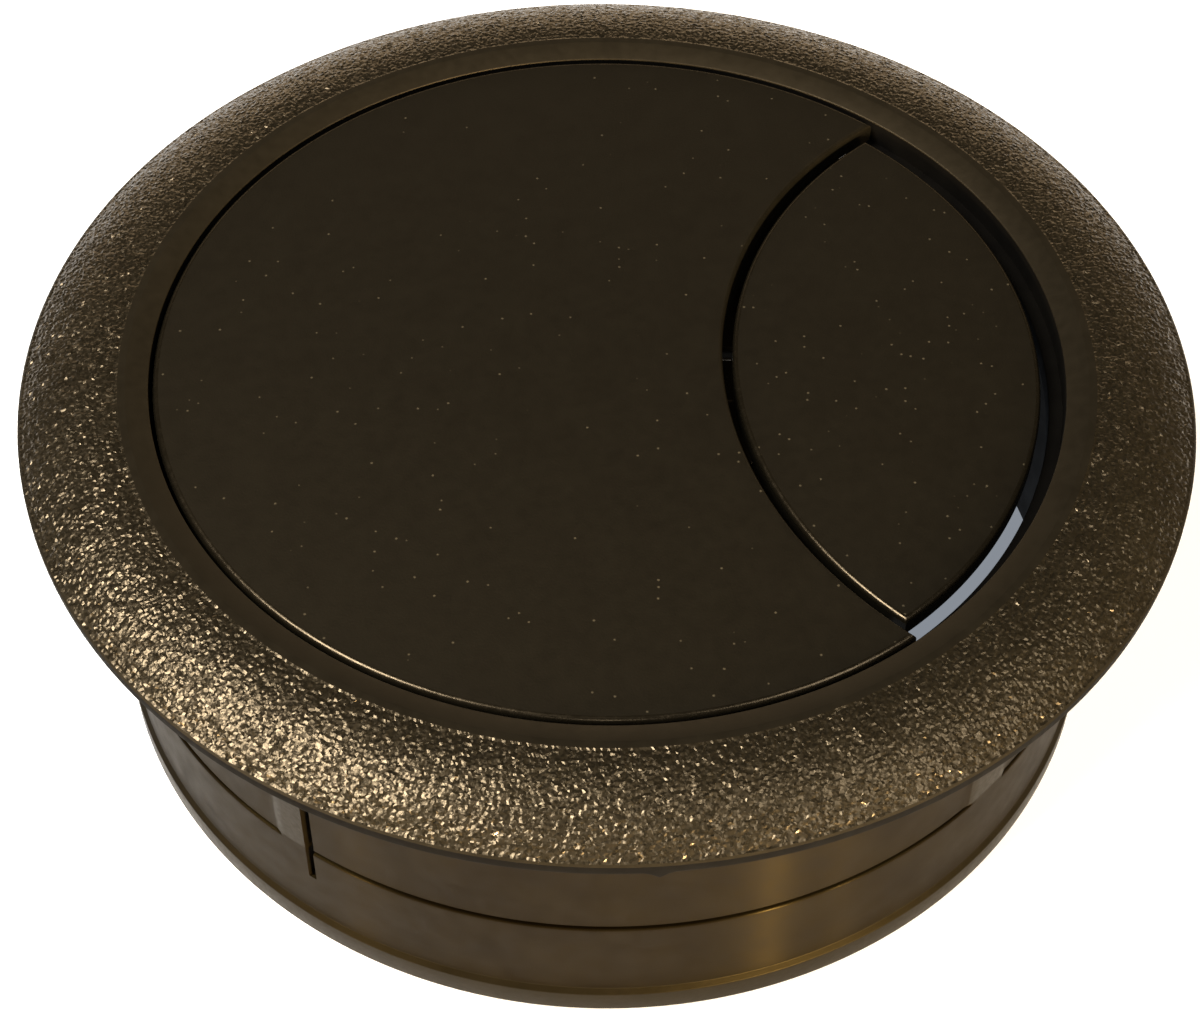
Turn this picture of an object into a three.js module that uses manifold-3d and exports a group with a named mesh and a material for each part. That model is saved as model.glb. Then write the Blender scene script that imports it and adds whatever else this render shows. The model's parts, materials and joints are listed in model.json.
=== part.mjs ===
// A round desk grommet: a moulded liner for a hole in a desk top, a cap that snaps into the
// liner and turns in it, and a sprung flap that closes the cable outlet in the cap.
// Millimetres, +Z up. The origin is the centre of the liner's lower end, and the outlet is at +X.
// Azimuths are in degrees from the front (-Y), counted towards +X.

import * as THREE from "three";
import { mergeVertices } from "three/addons/utils/BufferGeometryUtils.js";
import Module from "manifold-3d";

const wasm = await Module();
wasm.setup();

// Liner: the sleeve goes down a hole of 80 mm, and the flange lies on the desk top. A bead
// round the sleeve's foot is a little wider than the hole and grips it.
const HOLE_RADIUS = 40;
const SLEEVE_RADIUS = HOLE_RADIUS - 0.2;
const SLEEVE_WALL = 2.2;
const SLEEVE_DEPTH = 26.5;
const BEAD_RADIUS = HOLE_RADIUS + 0.15;
const BEAD_SHOULDER = 1.8;
const BEAD_TOP = 2.7;
const FOOT_BEVEL = 0.3;
const FLANGE_RADIUS = 45;
const FLANGE_EDGE = 0.9;
const CREST_RADIUS = 37.2;
const CREST_HEIGHT = 3.4; // above the desk top
const POCKET_RADIUS = 34.95;
const LEDGE_RADIUS = 33.9;
const LEDGE_THICKNESS = 1.7;
const FLANGE_THICKNESS = 1.4; // where the flange's underside is hollow, inside the sleeve

// The sleeve's upper wall is set back in panels between plain bars, with a groove under each
// panel, and slits beside two of the bars let the wall flex.
const SLIT_AZIMUTH = -32.6;
const SLIT_WIDTH = 0.7;
const SLIT_DEPTH = 19.1; // from the flange's underside down to the slit's lower end
const SLIT_BAR_FROM = -36.7;
const PLAIN_BAR_FROM = 43.8;
const PLAIN_BAR_TO = 49.5;
const PANELS = [
  { from: SLIT_AZIMUTH, to: PLAIN_BAR_FROM },
  { from: PLAIN_BAR_TO, to: SLIT_BAR_FROM + 180 },
];
const PANEL_INSET = 0.15;
const GROOVE_LEVEL = SLEEVE_DEPTH - 15.3;
const GROOVE_WIDTH = 0.7;
const GROOVE_DEPTH = 0.5;

// Cap: a disc in the liner's pocket, with a skirt and hooks that go through the ledge.
const CAP_TOP = SLEEVE_DEPTH + 2.9;
const CAP_THICKNESS = 1.8;
const CAP_RADIUS = 34.65;
const CAP_BOTTOM = CAP_TOP - CAP_THICKNESS;
const EDGE_ROUND = 0.3;
const RUNNING_GAP = 0.3;
const SKIRT_OUTER = LEDGE_RADIUS - RUNNING_GAP;
const SKIRT_INNER = SKIRT_OUTER - 1;
const SKIRT_HEIGHT = 1.8;
const SKIRT_FROM = 148;
const SKIRT_TO = 392;
const HOOK_AZIMUTHS = [165, 235, 305, 375];
const HOOK_HALF_ANGLE = 4;
const HOOK_SLOT_ANGLE = 1.6;
const HOOK_LENGTH = 3.5;
const HOOK_NOSE_REACH = 0.75;
const RIB_WIDTH = 1.2;
const RIB_HEIGHT = 1.4;
const SIDE_RIB_END = -27;
const CROSS_RIBS = [-6, -18];
const EMBED = 0.3; // how far a rib runs into the wall it stands on

// Outlet: a round notch in the disc, and the lens-shaped flap that fills it.
const NOTCH_CENTRE = 43.2;
const NOTCH_RADIUS = 34.4;
const FLAP_INNER_ARC = 33.6; // about the notch's centre
const FLAP_OUTER_ARC = 33.1; // about the grommet's axis
const FLAP_TOP = CAP_TOP - 0.4;
const FLAP_THICKNESS = 1.6;
const FLAP_BOTTOM = FLAP_TOP - FLAP_THICKNESS;
const FLAP_RIB_OFFSET = 15; // from the hinge
const FLAP_RIB_HEIGHT = 1;
const FLAP_RIB_HALF_LENGTH = 18;

// Lip: it stands out from the flap's inner edge under the disc, closes the gap between them from
// below, and stays clear of the spring in the middle.
const LIP_ROOT = FLAP_INNER_ARC - 1.4;
const LIP_ROOT_WIDTH = 1;
const LIP_THICKNESS = 0.8;
const LIP_OUTER = NOTCH_RADIUS + 0.8;
const LIP_MIDDLE_OUTER = NOTCH_RADIUS + 0.05;
const LIP_HALF_ANGLE = 46;
const LIP_MIDDLE_HALF_ANGLE = 4.7;
const LIP_AZIMUTH = 270; // seen from the notch's centre
const LEG_SLOT_WIDTH = 1;

// Hinge of the flap: its axis runs along Y under the disc.
const HINGE_X = 7;
const HINGE_Z = FLAP_TOP - 3.5;
const PIN_RADIUS = 0.75;
const PIN_LENGTH = 24.2;
const PIN_BORE_RADIUS = 0.8;
const BARREL_RADIUS = 1.75;
const ARM_FROM = 6;
const ARM_TO = 9.5;
const EAR_FROM = 10.1;
const EAR_TO = 11.7;
const EAR_RADIUS = 2;

// Hinge arm, as offsets from the hinge's axis along X and Z.
const ARM_KNEE = 1.5; // depth under the pin
const ARM_ELBOW = [3.2, -0.6];
const ARM_END = 8;
const ARM_ROOT_DROP = 0.6; // below the flap
const ARM_ROOT_START = 4.4;
const ARM_TAIL = 2.3;
const ARM_TAIL_LEVELS = [-0.2, -0.9];

// Torsion spring round the pin: one leg presses up on the cap, the other on the flap.
const WIRE_RADIUS = 0.2;
const COIL_RADIUS = 1.25;
const COIL_TURNS = 6;
const COIL_PITCH = 0.6;
const CAP_LEG_LENGTH = 9;
const CAP_LEG_RISE = 0.55;
const FLAP_LEG_LENGTH = 8;
const FLAP_LEG_RISE = 0.35;
const LEG_GUIDE_OFFSET = 0.9;
const LEG_GUIDE_WIDTH = 0.5;
const CAP_GUIDE = [-10, -5]; // from the hinge
const FLAP_GUIDE = [4.5, 9];
const FLAP_GUIDE_HEIGHT = 0.8;

const ROUND_STEPS = 72;
const FULL_TURN = 360;
const ARC_STEPS = 6;
const PIN_STEPS = 24;
const WIRE_STEPS = 104;
const WIRE_CURVE_STEPS = 3;
const CUT_MARGIN = 1;

const blackPlastic = { color: 0x1d1a15, roughness: 0.6, metalness: 0 };
const satinPlastic = { color: 0x211d17, roughness: 0.42, metalness: 0 };
const springSteel = { color: 0xa3a19c, roughness: 0.3, metalness: 1 };

// A closed geometry as a solid that can be joined and cut.
function solidOf(geometry) {
  geometry.deleteAttribute("normal");
  geometry.deleteAttribute("uv");
  const merged = mergeVertices(geometry);
  return new wasm.Manifold(
    new wasm.Mesh({
      numProp: 3,
      vertProperties: merged.attributes.position.array,
      triVerts: new Uint32Array(merged.index.array),
    }),
  );
}

// A solid as a named mesh with its own material.
function meshOf(name, solid, finish) {
  const { vertProperties, triVerts } = solid.getMesh();
  const geometry = new THREE.BufferGeometry();
  geometry.setAttribute("position", new THREE.BufferAttribute(vertProperties, 3));
  geometry.setIndex(new THREE.BufferAttribute(triVerts, 1));
  geometry.computeVertexNormals();
  const mesh = new THREE.Mesh(geometry, new THREE.MeshStandardMaterial(finish));
  mesh.name = name;
  return mesh;
}

// Turns a profile of [radius, height] points, which runs anticlockwise, about a vertical axis.
function turned(profile, centreX = 0) {
  const points = profile.map(([radius, height]) => new THREE.Vector2(radius, height));
  const geometry = new THREE.LatheGeometry(points, ROUND_STEPS);
  geometry.rotateX(Math.PI / 2);
  geometry.translate(centreX, 0, 0);
  return solidOf(geometry);
}

// A block between two radii, two azimuths and two heights, round a vertical axis.
function ringSector(inner, outer, from, to, bottom, top, centreX = 0) {
  const start = THREE.MathUtils.degToRad(from - 90);
  const end = THREE.MathUtils.degToRad(to - 90);
  const shape = new THREE.Shape();
  shape.absarc(0, 0, outer, start, end, false);
  shape.absarc(0, 0, inner, end, start, true);
  const geometry = new THREE.ExtrudeGeometry(shape, {
    depth: top - bottom,
    bevelEnabled: false,
    curveSegments: Math.max(2, Math.ceil((ROUND_STEPS * (to - from)) / (2 * FULL_TURN))),
  });
  geometry.translate(centreX, 0, bottom);
  return solidOf(geometry);
}

// A plate with an outline of [x, z] points, which runs anticlockwise, between two places on Y.
function plateAlongY(outline, from, to) {
  const shape = new THREE.Shape(outline.map(([x, z]) => new THREE.Vector2(x, z)));
  const geometry = new THREE.ExtrudeGeometry(shape, { depth: to - from, bevelEnabled: false });
  geometry.rotateX(Math.PI / 2);
  geometry.translate(0, to, 0);
  return solidOf(geometry);
}

function block(fromX, toX, fromY, toY, bottom, top) {
  const geometry = new THREE.BoxGeometry(toX - fromX, toY - fromY, top - bottom);
  geometry.translate((fromX + toX) / 2, (fromY + toY) / 2, (bottom + top) / 2);
  return solidOf(geometry);
}

// A rod along Y, centred on the hinge's axis.
function hingeRod(radius, from, to) {
  const geometry = new THREE.CylinderGeometry(radius, radius, to - from, PIN_STEPS);
  geometry.translate(HINGE_X, (from + to) / 2, HINGE_Z);
  return solidOf(geometry);
}

// The points of a round stretch of a profile, from one angle to another, both included.
function arcPoints(centreR, centreZ, radius, from, to, steps = ARC_STEPS) {
  return Array.from({ length: steps + 1 }, (_, i) => {
    const angle = THREE.MathUtils.degToRad(from + ((to - from) * i) / steps);
    return [centreR + radius * Math.cos(angle), centreZ + radius * Math.sin(angle)];
  });
}

// The flange's grained slope: one arc that is level at the crest and meets the edge.
function slopePoints() {
  const reach = FLANGE_RADIUS - CREST_RADIUS;
  const drop = CREST_HEIGHT - FLANGE_EDGE;
  const radius = (reach * reach + drop * drop) / (2 * drop);
  const edgeAngle = 90 - THREE.MathUtils.radToDeg(Math.asin(reach / radius));
  const centreZ = SLEEVE_DEPTH + CREST_HEIGHT - radius;
  return arcPoints(CREST_RADIUS, centreZ, radius, edgeAngle, 90);
}

function makeLiner() {
  const inner = SLEEVE_RADIUS - SLEEVE_WALL;
  const ledgeTop = CAP_BOTTOM - RUNNING_GAP;
  const ledgeBottom = ledgeTop - LEDGE_THICKNESS;
  const start = [inner, 0];
  let liner = turned([
    start,
    [BEAD_RADIUS - FOOT_BEVEL, 0],
    [BEAD_RADIUS, FOOT_BEVEL],
    [BEAD_RADIUS, BEAD_SHOULDER],
    [SLEEVE_RADIUS, BEAD_TOP],
    [SLEEVE_RADIUS, SLEEVE_DEPTH],
    [FLANGE_RADIUS, SLEEVE_DEPTH],
    ...slopePoints(),
    [POCKET_RADIUS, CAP_TOP],
    [POCKET_RADIUS, ledgeTop],
    [LEDGE_RADIUS, ledgeTop],
    [LEDGE_RADIUS, ledgeBottom],
    [inner - FLANGE_THICKNESS, ledgeBottom],
    [inner, ledgeBottom - FLANGE_THICKNESS],
    start,
  ]);
  const outside = SLEEVE_RADIUS + CUT_MARGIN;
  const grooveLow = GROOVE_LEVEL - GROOVE_WIDTH / 2;
  const grooveHigh = GROOVE_LEVEL + GROOVE_WIDTH / 2;
  const slitHalfAngle = THREE.MathUtils.radToDeg(SLIT_WIDTH / 2 / SLEEVE_RADIUS);
  const slitTop = ledgeBottom - FLANGE_THICKNESS - EMBED;
  for (const side of [0, 180]) {
    for (const panel of PANELS) {
      const from = panel.from + side;
      const to = panel.to + side;
      const face = SLEEVE_RADIUS - PANEL_INSET;
      liner = liner
        .subtract(ringSector(face, outside, from, to, GROOVE_LEVEL, SLEEVE_DEPTH - EMBED))
        .subtract(ringSector(SLEEVE_RADIUS - GROOVE_DEPTH, outside, from, to, grooveLow, grooveHigh));
    }
    const slit = SLIT_AZIMUTH + side;
    liner = liner.subtract(
      ringSector(
        inner - CUT_MARGIN,
        outside,
        slit - slitHalfAngle,
        slit + slitHalfAngle,
        SLEEVE_DEPTH - SLIT_DEPTH,
        slitTop,
      ),
    );
  }
  return liner;
}

// A solid disc whose upper edge is bevelled, for the cap and the flap's two arcs.
function edgedDisc(radius, bottom, top, centreX = 0) {
  return turned(
    [
      [0, bottom],
      [radius, bottom],
      [radius, top - EDGE_ROUND],
      [radius - EDGE_ROUND, top],
      [0, top],
    ],
    centreX,
  );
}

function makeSkirt() {
  const bottom = CAP_BOTTOM - SKIRT_HEIGHT;
  const top = CAP_BOTTOM + EMBED;
  const ends = HOOK_AZIMUTHS.flatMap((azimuth) => [
    azimuth - HOOK_HALF_ANGLE - HOOK_SLOT_ANGLE,
    azimuth + HOOK_HALF_ANGLE + HOOK_SLOT_ANGLE,
  ]);
  const stops = [SKIRT_FROM, ...ends, SKIRT_TO];
  const walls = [];
  for (let i = 0; i < stops.length; i += 2) {
    walls.push(ringSector(SKIRT_INNER, SKIRT_OUTER, stops[i], stops[i + 1], bottom, top));
  }
  return walls;
}

// The four snap hooks: a tongue down through the ledge, and a nose that reaches out under it.
function makeHooks() {
  const tip = CAP_BOTTOM - HOOK_LENGTH;
  const noseTop = CAP_BOTTOM - RUNNING_GAP - LEDGE_THICKNESS - RUNNING_GAP;
  const noseOuter = SKIRT_OUTER + HOOK_NOSE_REACH;
  const root = [SKIRT_INNER + EMBED, tip];
  const noseRing = turned([
    root,
    [SKIRT_OUTER, tip],
    [noseOuter, noseTop - EMBED],
    [noseOuter, noseTop],
    [SKIRT_INNER + EMBED, noseTop],
    root,
  ]);
  return HOOK_AZIMUTHS.map((azimuth) => {
    const from = azimuth - HOOK_HALF_ANGLE;
    const to = azimuth + HOOK_HALF_ANGLE;
    const tongue = ringSector(SKIRT_INNER, SKIRT_OUTER, from, to, tip, CAP_BOTTOM + EMBED);
    const window = ringSector(SKIRT_INNER, noseOuter + CUT_MARGIN, from, to, tip - CUT_MARGIN, CAP_BOTTOM);
    return tongue.add(noseRing.intersect(window));
  });
}

// The two ears that hold the hinge pin: a round end below, straight sides up into the disc.
function makeEars() {
  const outline = [
    ...arcPoints(HINGE_X, HINGE_Z, EAR_RADIUS, 180, 360, 2 * ARC_STEPS),
    [HINGE_X + EAR_RADIUS, CAP_BOTTOM + EMBED],
    [HINGE_X - EAR_RADIUS, CAP_BOTTOM + EMBED],
  ];
  return [
    plateAlongY(outline, EAR_FROM, EAR_TO),
    plateAlongY(outline, -EAR_TO, -EAR_FROM),
  ];
}

function makeCapRibs() {
  const bottom = CAP_BOTTOM - RIB_HEIGHT;
  const top = CAP_BOTTOM + EMBED;
  const half = RIB_WIDTH / 2;
  const sideRibY = EAR_TO + 2;
  const legY = (-COIL_TURNS * COIL_PITCH) / 2;
  const [guideFrom, guideTo] = CAP_GUIDE.map((offset) => HINGE_X + offset);
  const halfGuide = LEG_GUIDE_WIDTH / 2;
  return [
    ...[sideRibY, -sideRibY].map((y) =>
      block(SIDE_RIB_END, HINGE_X + EAR_RADIUS, y - half, y + half, bottom, top),
    ),
    ...CROSS_RIBS.map((x) => block(x - half, x + half, -sideRibY, sideRibY, bottom, top)),
    ...[legY - LEG_GUIDE_OFFSET, legY + LEG_GUIDE_OFFSET].map((y) =>
      block(guideFrom, guideTo, y - halfGuide, y + halfGuide, bottom, top),
    ),
  ];
}

function makeCap() {
  const notch = turned(
    [
      [0, CAP_BOTTOM - CUT_MARGIN],
      [NOTCH_RADIUS, CAP_BOTTOM - CUT_MARGIN],
      [NOTCH_RADIUS, CAP_TOP - EDGE_ROUND],
      [NOTCH_RADIUS + EDGE_ROUND + CUT_MARGIN, CAP_TOP + CUT_MARGIN],
      [0, CAP_TOP + CUT_MARGIN],
    ],
    NOTCH_CENTRE,
  );
  const pieces = [...makeSkirt(), ...makeHooks(), ...makeEars(), ...makeCapRibs()];
  const disc = edgedDisc(CAP_RADIUS, CAP_BOTTOM, CAP_TOP).subtract(notch);
  const whole = pieces.reduce((sum, piece) => sum.add(piece), disc);
  return whole.subtract(hingeRod(PIN_BORE_RADIUS, -EAR_TO - CUT_MARGIN, EAR_TO + CUT_MARGIN));
}

// One hinge arm: it holds the pin, bears on the disc when closed, and its tail stops the opening.
function makeArm(from, to) {
  const underDisc = CAP_BOTTOM - RUNNING_GAP;
  const [elbowX, elbowZ] = ARM_ELBOW;
  const [tailTop, tailBottom] = ARM_TAIL_LEVELS;
  const outline = [
    [HINGE_X, HINGE_Z - ARM_KNEE],
    [HINGE_X + elbowX, HINGE_Z + elbowZ],
    [HINGE_X + ARM_END, FLAP_BOTTOM - ARM_ROOT_DROP],
    [HINGE_X + ARM_END, FLAP_BOTTOM + EMBED],
    [HINGE_X + ARM_ROOT_START, FLAP_BOTTOM + EMBED],
    [HINGE_X + elbowX, underDisc],
    [HINGE_X, underDisc],
    [HINGE_X - ARM_TAIL, HINGE_Z + tailTop],
    [HINGE_X - ARM_TAIL, HINGE_Z + tailBottom],
  ];
  return plateAlongY(outline, from, to).add(hingeRod(BARREL_RADIUS, from, to));
}

// The lip of the flap, in two long stretches and a narrower one between them that is slotted for
// the spring's leg. Its root runs up into the flap.
function makeLip() {
  const top = CAP_BOTTOM - RUNNING_GAP;
  const bottom = top - LIP_THICKNESS;
  const from = LIP_AZIMUTH - LIP_HALF_ANGLE;
  const to = LIP_AZIMUTH + LIP_HALF_ANGLE;
  const middleFrom = LIP_AZIMUTH - LIP_MIDDLE_HALF_ANGLE;
  const middleTo = LIP_AZIMUTH + LIP_MIDDLE_HALF_ANGLE;
  const rootTop = FLAP_BOTTOM + EMBED;
  const legY = (COIL_TURNS * COIL_PITCH) / 2;
  const slotHalf = LEG_SLOT_WIDTH / 2;
  const slotTo = NOTCH_CENTRE - LIP_ROOT + CUT_MARGIN;
  const slot = block(HINGE_X, slotTo, legY - slotHalf, legY + slotHalf, bottom - CUT_MARGIN, FLAP_BOTTOM);
  return ringSector(LIP_ROOT, LIP_ROOT + LIP_ROOT_WIDTH, from, to, bottom, rootTop, NOTCH_CENTRE)
    .add(ringSector(LIP_ROOT, LIP_OUTER, from, middleFrom, bottom, top, NOTCH_CENTRE))
    .add(ringSector(LIP_ROOT, LIP_MIDDLE_OUTER, middleFrom, middleTo, bottom, top, NOTCH_CENTRE))
    .add(ringSector(LIP_ROOT, LIP_OUTER, middleTo, to, bottom, top, NOTCH_CENTRE))
    .subtract(slot);
}

function makeFlap() {
  const inner = edgedDisc(FLAP_INNER_ARC, FLAP_BOTTOM, FLAP_TOP, NOTCH_CENTRE);
  const outer = edgedDisc(FLAP_OUTER_ARC, FLAP_BOTTOM, FLAP_TOP);
  const rootTop = FLAP_BOTTOM + EMBED;
  const legY = (COIL_TURNS * COIL_PITCH) / 2;
  const [guideFrom, guideTo] = FLAP_GUIDE.map((offset) => HINGE_X + offset);
  const guideBottom = FLAP_BOTTOM - FLAP_GUIDE_HEIGHT;
  const halfGuide = LEG_GUIDE_WIDTH / 2;
  const guides = [legY - LEG_GUIDE_OFFSET, legY + LEG_GUIDE_OFFSET].map((y) =>
    block(guideFrom, guideTo, y - halfGuide, y + halfGuide, guideBottom, rootTop),
  );
  const ribX = HINGE_X + FLAP_RIB_OFFSET;
  const rib = block(
    ribX - RIB_WIDTH / 2,
    ribX + RIB_WIDTH / 2,
    -FLAP_RIB_HALF_LENGTH,
    FLAP_RIB_HALF_LENGTH,
    FLAP_BOTTOM - FLAP_RIB_HEIGHT,
    rootTop,
  );
  const arms = [makeArm(ARM_FROM, ARM_TO), makeArm(-ARM_TO, -ARM_FROM)];
  const additions = [makeLip(), ...arms, ...guides, rib];
  const whole = additions.reduce((sum, piece) => sum.add(piece), inner.intersect(outer));
  return whole.subtract(hingeRod(PIN_BORE_RADIUS, -ARM_TO - CUT_MARGIN, ARM_TO + CUT_MARGIN));
}

// The spring's centre line: a leg in from -X along the coil's top, whole turns, and a leg out to +X.
class SpringWire extends THREE.Curve {
  getPoint(t) {
    const turnsLength = COIL_TURNS * 2 * Math.PI * COIL_RADIUS;
    const along = t * (CAP_LEG_LENGTH + turnsLength + FLAP_LEG_LENGTH);
    const top = HINGE_Z + COIL_RADIUS;
    const startY = (-COIL_TURNS * COIL_PITCH) / 2;
    if (along <= CAP_LEG_LENGTH) {
      const out = CAP_LEG_LENGTH - along;
      return new THREE.Vector3(HINGE_X - out, startY, top + (CAP_LEG_RISE * out) / CAP_LEG_LENGTH);
    }
    if (along >= CAP_LEG_LENGTH + turnsLength) {
      const out = along - CAP_LEG_LENGTH - turnsLength;
      return new THREE.Vector3(HINGE_X + out, -startY, top + (FLAP_LEG_RISE * out) / FLAP_LEG_LENGTH);
    }
    const share = (along - CAP_LEG_LENGTH) / turnsLength;
    const angle = share * COIL_TURNS * 2 * Math.PI;
    return new THREE.Vector3(
      HINGE_X + COIL_RADIUS * Math.sin(angle),
      startY + share * COIL_TURNS * COIL_PITCH,
      HINGE_Z + COIL_RADIUS * Math.cos(angle),
    );
  }
}

function makeSpring() {
  const section = new THREE.Shape();
  section.absarc(0, 0, WIRE_RADIUS, 0, 2 * Math.PI, false);
  const geometry = new THREE.ExtrudeGeometry(section, {
    steps: WIRE_STEPS,
    curveSegments: WIRE_CURVE_STEPS,
    bevelEnabled: false,
    extrudePath: new SpringWire(),
  });
  return solidOf(geometry);
}

const group = new THREE.Group();
group.add(
  meshOf("liner", makeLiner(), satinPlastic),
  meshOf("cap_disc", makeCap(), blackPlastic),
  meshOf("closing_flap", makeFlap(), blackPlastic),
  meshOf("hinge_pin", hingeRod(PIN_RADIUS, -PIN_LENGTH / 2, PIN_LENGTH / 2), springSteel),
  meshOf("torsion_spring", makeSpring(), springSteel),
);

export default group;
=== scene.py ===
"""The looks of a black desk grommet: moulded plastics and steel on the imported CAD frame."""

import json
import math
import random

import bmesh
import bpy
from mathutils import Matrix, Vector, noise


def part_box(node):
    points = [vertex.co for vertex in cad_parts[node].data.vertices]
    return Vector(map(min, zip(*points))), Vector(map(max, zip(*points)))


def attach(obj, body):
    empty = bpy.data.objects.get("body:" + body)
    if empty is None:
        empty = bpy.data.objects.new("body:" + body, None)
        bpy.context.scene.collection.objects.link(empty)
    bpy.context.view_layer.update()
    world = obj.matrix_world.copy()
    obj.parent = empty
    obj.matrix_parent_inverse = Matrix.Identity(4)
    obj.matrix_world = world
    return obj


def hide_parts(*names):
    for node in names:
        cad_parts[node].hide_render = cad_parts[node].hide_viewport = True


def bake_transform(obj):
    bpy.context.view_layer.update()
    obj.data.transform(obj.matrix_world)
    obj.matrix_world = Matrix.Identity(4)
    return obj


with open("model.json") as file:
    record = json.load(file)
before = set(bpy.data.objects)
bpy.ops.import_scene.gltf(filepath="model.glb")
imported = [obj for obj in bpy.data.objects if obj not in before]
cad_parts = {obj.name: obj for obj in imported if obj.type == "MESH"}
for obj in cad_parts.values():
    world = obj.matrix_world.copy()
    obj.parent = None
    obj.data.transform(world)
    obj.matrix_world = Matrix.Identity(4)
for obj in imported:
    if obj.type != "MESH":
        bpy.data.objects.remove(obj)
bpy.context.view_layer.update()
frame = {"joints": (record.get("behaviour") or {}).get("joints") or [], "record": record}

MM = 0.001

# Sizes that the frame gives.
LINER_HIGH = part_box("liner")[1]
CAP_LOW, CAP_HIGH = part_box("cap_disc")
FLAP_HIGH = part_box("closing_flap")[1]
PIN_LOW, PIN_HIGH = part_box("hinge_pin")
HINGE = Vector(next(j["pos_m"] for j in frame["joints"] if j["name"] == "flap_swing"))
FLANGE_SEAT = next(m["pos_m"][2] for m in frame["record"]["mounts"] if m["name"] == "flange_seat")

FLANGE_RADIUS = LINER_HIGH.x
CREST_Z = LINER_HIGH.z
CAP_TOP = CAP_HIGH.z
CAP_RADIUS = -CAP_LOW.x
FLAP_TOP = FLAP_HIGH.z
FLAP_OUTER_ARC = FLAP_HIGH.x

# Liner, on top of what the frame gives.
SLEEVE_RADIUS = 39.8 * MM
SLEEVE_WALL = 2.2 * MM
BEAD_RADIUS = 40.15 * MM
BEAD_TOP = 2.7 * MM
FOOT_ROUND = 0.3 * MM
FILLET = 0.35 * MM
FLANGE_EDGE = 0.9 * MM
FLANGE_ROUND = 0.22 * MM
FLANGE_UNDERSIDE = (42 * MM, 44 * MM, 44.4 * MM)
CREST_RADIUS = 37.2 * MM
POCKET_RADIUS = 34.95 * MM
LEDGE_RADIUS = 33.9 * MM
LEDGE_THICKNESS = 1.7 * MM
LEDGE_ROUND = 0.15 * MM
POCKET_FOOT_ROUND = 0.1 * MM
POCKET_LIP_ROUND = 0.12 * MM
CREST_ROUND = 0.5 * MM
HOLLOW = 1.4 * MM
HOLLOW_CORNER = 0.3 * MM
CAP_THICKNESS = 1.8 * MM
RUNNING_GAP = 0.3 * MM
CAP_BOTTOM = CAP_TOP - CAP_THICKNESS
LEDGE_TOP = CAP_BOTTOM - RUNNING_GAP
LEDGE_BOTTOM = LEDGE_TOP - LEDGE_THICKNESS

# Panels of the sleeve, in degrees from the front (-Y) towards +X, and what lies beside them.
SLIT_AZIMUTH = -32.6
SLIT_WIDTH = 0.7 * MM
SLIT_LENGTH = 19.1 * MM
PANELS = ((-32.6, 43.8), (49.5, 143.3), (147.4, 223.8), (229.5, 323.3))
PANEL_INSET = 0.15 * MM
GROOVE_Z = FLANGE_SEAT - 15.5 * MM
GROOVE_TOP = GROOVE_Z + 0.16 * MM
GROOVE_FLOOR = GROOVE_Z - 0.16 * MM
GROOVE_DEPTH = 0.5 * MM
GROOVE_LIP = 0.16 * MM
LEDGE_STEP = 0.01 * MM
PANEL_FADE = 0.5
WALL_TOLERANCE = 0.001 * MM

# The nub that the mould's gate leaves under the flange's edge.
GATE_AZIMUTH = 5.0
GATE_DROP = 0.6 * MM
GATE_FLAT = 0.25
GATE_REACH = 1.0
GATE_RADIUS = 44.1 * MM
GATE_HEIGHT = 0.3 * MM

# Cap and flap.
NOTCH_CENTRE = 43.2 * MM
NOTCH_RADIUS = 34.4 * MM
FLAP_INNER_ARC = 33.6 * MM
FLAP_THICKNESS = 1.6 * MM
FLAP_BOTTOM = FLAP_TOP - FLAP_THICKNESS
DISC_ROUND = 0.45 * MM
NOTCH_ROUND = 0.35 * MM
FLAP_ROUND = 0.4 * MM
SKIRT_OUTER = LEDGE_RADIUS - RUNNING_GAP
SKIRT_INNER = SKIRT_OUTER - 1 * MM
SKIRT_HEIGHT = 1.8 * MM
SKIRT_SPAN = (148, 392)
HOOK_AZIMUTHS = (165, 235, 305, 375)
HOOK_HALF_ANGLE = 4
HOOK_SLOT_ANGLE = 1.6
HOOK_LENGTH = 3.5 * MM
HOOK_REACH = 0.75 * MM
HOOK_NOSE = 0.35 * MM
DISC_LOWER_ROUND = 0.1 * MM
RIB_WIDTH = 1.2 * MM
RIB_HEIGHT = 1.4 * MM
CAP_RIB_END = -27 * MM
CAP_CROSS_RIBS = (-6 * MM, -18 * MM)
CAP_GUIDE_LENGTH = 5 * MM
FLAP_GUIDE_LENGTH = 4.5 * MM
FLAP_GUIDE_HEIGHT = 0.8 * MM
FLAP_RIB_OFFSET = 15 * MM
FLAP_RIB_HALF = 18 * MM
GUIDE_OFFSET = 0.9 * MM
GUIDE_HALF = 0.25 * MM
LEG_SLOT_HALF = 0.5 * MM
LEG_SLOT_LENGTH = 6 * MM
EMBED = 0.3 * MM
LIP_ROOT = FLAP_INNER_ARC - 1.4 * MM
LIP_OUTER = NOTCH_RADIUS + 0.8 * MM
LIP_MIDDLE_OUTER = NOTCH_RADIUS + 0.05 * MM
LIP_THICKNESS = 0.8 * MM
LIP_SPAN = (-46, -4.7, 4.7, 46)
SMALL_ROUND = 0.12 * MM
SHARP_ANGLE = 30
PLASTIC_SHARP_ANGLE = 32

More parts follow.
